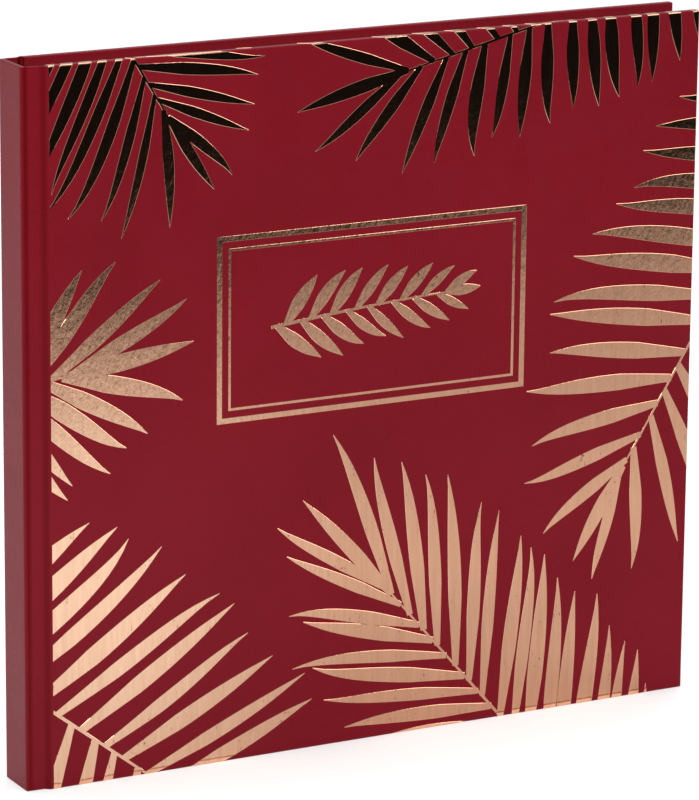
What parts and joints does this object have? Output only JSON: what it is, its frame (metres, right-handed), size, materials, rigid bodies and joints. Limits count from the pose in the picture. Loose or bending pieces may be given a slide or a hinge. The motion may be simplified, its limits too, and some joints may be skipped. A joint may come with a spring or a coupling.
{
  "type": "photo album",
  "caption": "Bookbound photo album with hinged hard covers, a flat spine, card leaves with glassine sheets, and metallic foil leaf fronds round a framed title panel",
  "frame": {"origin": "centre of the closed album's bounding box at its tail edge, where it stands", "axes": "+X from the spine face to the fore-edge, +Y from the front cover to the back cover, +Z from tail to head"},
  "size_m": [0.25, 0.02, 0.24],
  "materials": {
    "cover_laminate": "satin",
    "greyboard": "matte",
    "endpaper": "matte",
    "photo_card": "matte",
    "glassine": "satin",
    "kraft_lining": "matte",
    "mull_gauze": "matte",
    "band_cloth": "satin",
    "rose_gold_foil": "polished"
  },
  "bodies": {
    "spine_and_block": {"spine_board": "greyboard", "spine_cover_paper": "cover_laminate", "spine_lining_paper": "kraft_lining", "spine_mull": "mull_gauze", "leaf_stub_block": "photo_card", "head_band": "band_cloth", "tail_band": "band_cloth"},
    "front_cover": {"front_board": "greyboard", "front_cover_paper": "cover_laminate", "front_pastedown": "endpaper", "foil_frame_outer_rule": "rose_gold_foil", "foil_frame_inner_rule": "rose_gold_foil"},
    "back_cover": {"back_board": "greyboard", "back_cover_paper": "cover_laminate", "back_pastedown": "endpaper"},
    "front_flyleaf": {"front_flyleaf": "endpaper"},
    "back_flyleaf": {"back_flyleaf": "endpaper"},
    "leaf_01": {"photo_leaf_01": "photo_card", "glassine_01": "glassine"},
    "leaf_02": {"photo_leaf_02": "photo_card", "glassine_02": "glassine"},
    "leaf_03": {"photo_leaf_03": "photo_card", "glassine_03": "glassine"},
    "leaf_04": {"photo_leaf_04": "photo_card", "glassine_04": "glassine"},
    "leaf_05": {"photo_leaf_05": "photo_card", "glassine_05": "glassine"},
    "leaf_06": {"photo_leaf_06": "photo_card", "glassine_06": "glassine"},
    "leaf_07": {"photo_leaf_07": "photo_card", "glassine_07": "glassine"},
    "leaf_08": {"photo_leaf_08": "photo_card", "glassine_08": "glassine"},
    "leaf_09": {"photo_leaf_09": "photo_card", "glassine_09": "glassine"},
    "leaf_10": {"photo_leaf_10": "photo_card", "glassine_10": "glassine"},
    "leaf_11": {"photo_leaf_11": "photo_card", "glassine_11": "glassine"},
    "leaf_12": {"photo_leaf_12": "photo_card", "glassine_12": "glassine"},
    "leaf_13": {"photo_leaf_13": "photo_card", "glassine_13": "glassine"},
    "leaf_14": {"photo_leaf_14": "photo_card", "glassine_14": "glassine"},
    "leaf_15": {"photo_leaf_15": "photo_card", "glassine_15": "glassine"},
    "leaf_16": {"photo_leaf_16": "photo_card", "glassine_16": "glassine"},
    "leaf_17": {"photo_leaf_17": "photo_card", "glassine_17": "glassine"},
    "leaf_18": {"photo_leaf_18": "photo_card", "glassine_18": "glassine"},
    "leaf_19": {"photo_leaf_19": "photo_card", "glassine_19": "glassine"},
    "leaf_20": {"photo_leaf_20": "photo_card", "glassine_20": "glassine"}
  },
  "joints": [
    {"name": "front_cover_hinge", "type": "hinge", "parent": "spine_and_block", "child": "front_cover", "pos_m": [-0.1175, -0.01, 0.12], "axis": [0, 0, -1], "range_deg": [0, 180]},
    {"name": "back_cover_hinge", "type": "hinge", "parent": "spine_and_block", "child": "back_cover", "pos_m": [-0.1175, 0.01, 0.12], "axis": [0, 0, 1], "range_deg": [0, 180]},
    {"name": "front_flyleaf_hinge", "type": "hinge", "parent": "spine_and_block", "child": "front_flyleaf", "pos_m": [-0.1111, -0.0069, 0.12], "axis": [0, 0, -1], "range_deg": [0, 134]},
    {"name": "back_flyleaf_hinge", "type": "hinge", "parent": "spine_and_block", "child": "back_flyleaf", "pos_m": [-0.1111, 0.0069, 0.12], "axis": [0, 0, 1], "range_deg": [0, 110]},
    {"name": "leaf_01_hinge", "type": "hinge", "parent": "spine_and_block", "child": "leaf_01", "pos_m": [-0.1111, -0.0069, 0.12], "axis": [0, 0, -1], "range_deg": [0, 126.5]},
    {"name": "leaf_02_hinge", "type": "hinge", "parent": "spine_and_block", "child": "leaf_02", "pos_m": [-0.1111, -0.0069, 0.12], "axis": [0, 0, -1], "range_deg": [0, 120.2]},
    {"name": "leaf_03_hinge", "type": "hinge", "parent": "spine_and_block", "child": "leaf_03", "pos_m": [-0.1111, -0.0069, 0.12], "axis": [0, 0, -1], "range_deg": [0, 113.9]},
    {"name": "leaf_04_hinge", "type": "hinge", "parent": "spine_and_block", "child": "leaf_04", "pos_m": [-0.1111, -0.0069, 0.12], "axis": [0, 0, -1], "range_deg": [0, 107.6]},
    {"name": "leaf_05_hinge", "type": "hinge", "parent": "spine_and_block", "child": "leaf_05", "pos_m": [-0.1111, -0.0069, 0.12], "axis": [0, 0, -1], "range_deg": [0, 101.3]},
    {"name": "leaf_06_hinge", "type": "hinge", "parent": "spine_and_block", "child": "leaf_06", "pos_m": [-0.1111, -0.0069, 0.12], "axis": [0, 0, -1], "range_deg": [0, 95]},
    {"name": "leaf_07_hinge", "type": "hinge", "parent": "spine_and_block", "child": "leaf_07", "pos_m": [-0.1111, -0.0069, 0.12], "axis": [0, 0, -1], "range_deg": [0, 88.7]},
    {"name": "leaf_08_hinge", "type": "hinge", "parent": "spine_and_block", "child": "leaf_08", "pos_m": [-0.1111, -0.0069, 0.12], "axis": [0, 0, -1], "range_deg": [0, 82.4]},
    {"name": "leaf_09_hinge", "type": "hinge", "parent": "spine_and_block", "child": "leaf_09", "pos_m": [-0.1111, -0.0069, 0.12], "axis": [0, 0, -1], "range_deg": [0, 76.1]},
    {"name": "leaf_10_hinge", "type": "hinge", "parent": "spine_and_block", "child": "leaf_10", "pos_m": [-0.1111, -0.0069, 0.12], "axis": [0, 0, -1], "range_deg": [0, 69.8]},
    {"name": "leaf_11_hinge", "type": "hinge", "parent": "spine_and_block", "child": "leaf_11", "pos_m": [-0.1111, -0.0069, 0.12], "axis": [0, 0, -1], "range_deg": [0, 63.5]},
    {"name": "leaf_12_hinge", "type": "hinge", "parent": "spine_and_block", "child": "leaf_12", "pos_m": [-0.1111, -0.0069, 0.12], "axis": [0, 0, -1], "range_deg": [0, 57.2]},
    {"name": "leaf_13_hinge", "type": "hinge", "parent": "spine_and_block", "child": "leaf_13", "pos_m": [-0.1111, -0.0069, 0.12], "axis": [0, 0, -1], "range_deg": [0, 50.9]},
    {"name": "leaf_14_hinge", "type": "hinge", "parent": "spine_and_block", "child": "leaf_14", "pos_m": [-0.1111, -0.0069, 0.12], "axis": [0, 0, -1], "range_deg": [0, 44.6]},
    {"name": "leaf_15_hinge", "type": "hinge", "parent": "spine_and_block", "child": "leaf_15", "pos_m": [-0.1111, -0.0069, 0.12], "axis": [0, 0, -1], "range_deg": [0, 38.3]},
    {"name": "leaf_16_hinge", "type": "hinge", "parent": "spine_and_block", "child": "leaf_16", "pos_m": [-0.1111, -0.0069, 0.12], "axis": [0, 0, -1], "range_deg": [0, 32]},
    {"name": "leaf_17_hinge", "type": "hinge", "parent": "spine_and_block", "child": "leaf_17", "pos_m": [-0.1111, -0.0069, 0.12], "axis": [0, 0, -1], "range_deg": [0, 25.7]},
    {"name": "leaf_18_hinge", "type": "hinge", "parent": "spine_and_block", "child": "leaf_18", "pos_m": [-0.1111, -0.0069, 0.12], "axis": [0, 0, -1], "range_deg": [0, 19.4]},
    {"name": "leaf_19_hinge", "type": "hinge", "parent": "spine_and_block", "child": "leaf_19", "pos_m": [-0.1111, -0.0069, 0.12], "axis": [0, 0, -1], "range_deg": [0, 13.1]},
    {"name": "leaf_20_hinge", "type": "hinge", "parent": "spine_and_block", "child": "leaf_20", "pos_m": [-0.1111, -0.0069, 0.12], "axis": [0, 0, -1], "range_deg": [0, 6.8]}
  ],
  "couplings": [
    {"joint": "front_flyleaf_hinge", "follows": "front_cover_hinge", "ratio": 0.74},
    {"joint": "back_flyleaf_hinge", "follows": "back_cover_hinge", "ratio": 0.6},
    {"joint": "leaf_01_hinge", "follows": "front_cover_hinge", "ratio": 0.7},
    {"joint": "leaf_02_hinge", "follows": "front_cover_hinge", "ratio": 0.665},
    {"joint": "leaf_03_hinge", "follows": "front_cover_hinge", "ratio": 0.63},
    {"joint": "leaf_04_hinge", "follows": "front_cover_hinge", "ratio": 0.595},
    {"joint": "leaf_05_hinge", "follows": "front_cover_hinge", "ratio": 0.56},
    {"joint": "leaf_06_hinge", "follows": "front_cover_hinge", "ratio": 0.525},
    {"joint": "leaf_07_hinge", "follows": "front_cover_hinge", "ratio": 0.49},
    {"joint": "leaf_08_hinge", "follows": "front_cover_hinge", "ratio": 0.455},
    {"joint": "leaf_09_hinge", "follows": "front_cover_hinge", "ratio": 0.42},
    {"joint": "leaf_10_hinge", "follows": "front_cover_hinge", "ratio": 0.385},
    {"joint": "leaf_11_hinge", "follows": "front_cover_hinge", "ratio": 0.35},
    {"joint": "leaf_12_hinge", "follows": "front_cover_hinge", "ratio": 0.315},
    {"joint": "leaf_13_hinge", "follows": "front_cover_hinge", "ratio": 0.28},
    {"joint": "leaf_14_hinge", "follows": "front_cover_hinge", "ratio": 0.245},
    {"joint": "leaf_15_hinge", "follows": "front_cover_hinge", "ratio": 0.21},
    {"joint": "leaf_16_hinge", "follows": "front_cover_hinge", "ratio": 0.175},
    {"joint": "leaf_17_hinge", "follows": "front_cover_hinge", "ratio": 0.14},
    {"joint": "leaf_18_hinge", "follows": "front_cover_hinge", "ratio": 0.105},
    {"joint": "leaf_19_hinge", "follows": "front_cover_hinge", "ratio": 0.07},
    {"joint": "leaf_20_hinge", "follows": "front_cover_hinge", "ratio": 0.035}
  ]
}
